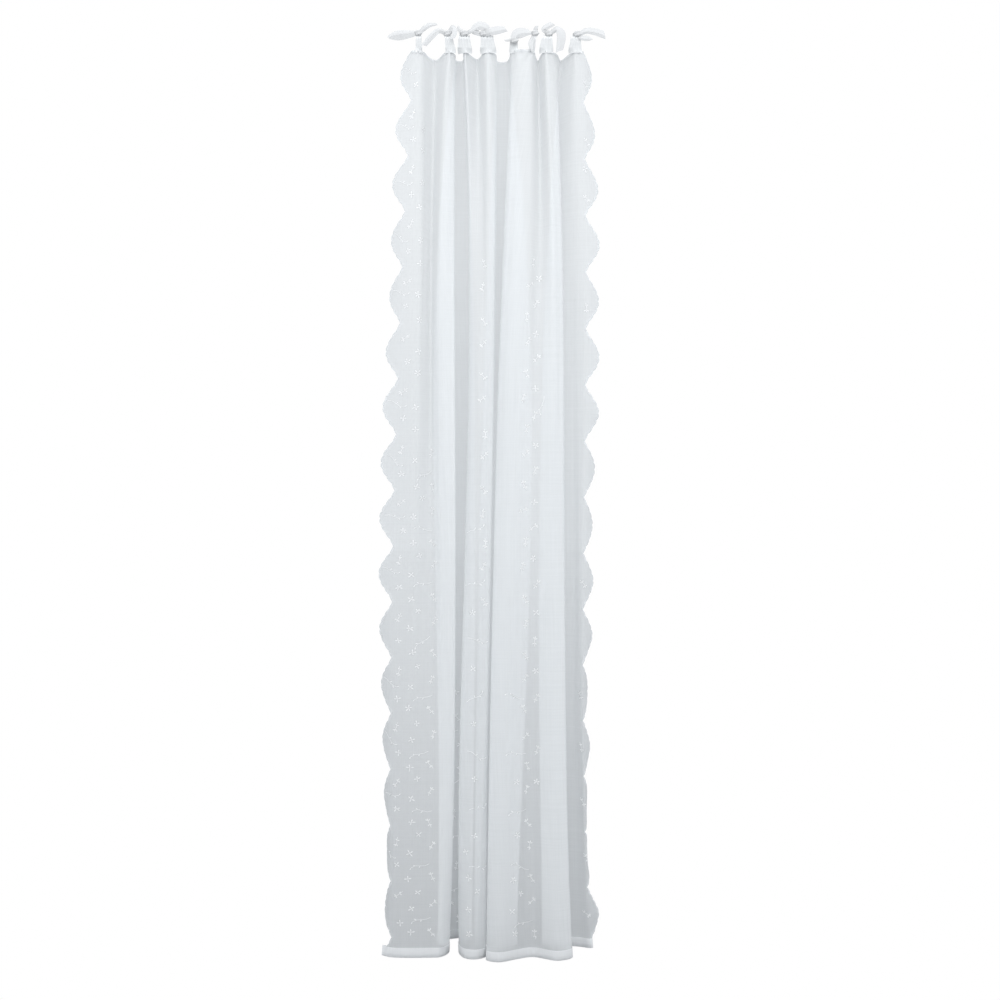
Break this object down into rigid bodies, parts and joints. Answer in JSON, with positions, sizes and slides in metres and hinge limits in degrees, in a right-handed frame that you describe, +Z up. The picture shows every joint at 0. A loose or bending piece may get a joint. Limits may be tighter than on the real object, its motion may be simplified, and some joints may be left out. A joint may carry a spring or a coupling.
{
  "type": "tie-top curtain panel",
  "caption": "Sheer white curtain panel with embroidered scalloped sides and a plain hem, hung in loose folds from knotted cloth ties along its top edge.",
  "frame": {"origin": "middle of the line that a rod's centre takes through the tie loops, just above the cloth's top edge", "axes": "+X along the rod to the right as seen from the room, +Y away from the room, +Z up"},
  "size_m": [0.5999, 0.2005, 2.4608],
  "materials": {
    "sheer_cloth": "sheer plain weave with raised white embroidery",
    "tie_cloth": "plain weave, folded double"
  },
  "bodies": {
    "root": {"panel": "sheer_cloth", "tie_1": "tie_cloth", "tie_2": "tie_cloth", "tie_3": "tie_cloth", "tie_4": "tie_cloth", "tie_5": "tie_cloth", "tie_6": "tie_cloth", "tie_7": "tie_cloth", "tie_8": "tie_cloth"}
  },
  "joints": []
}
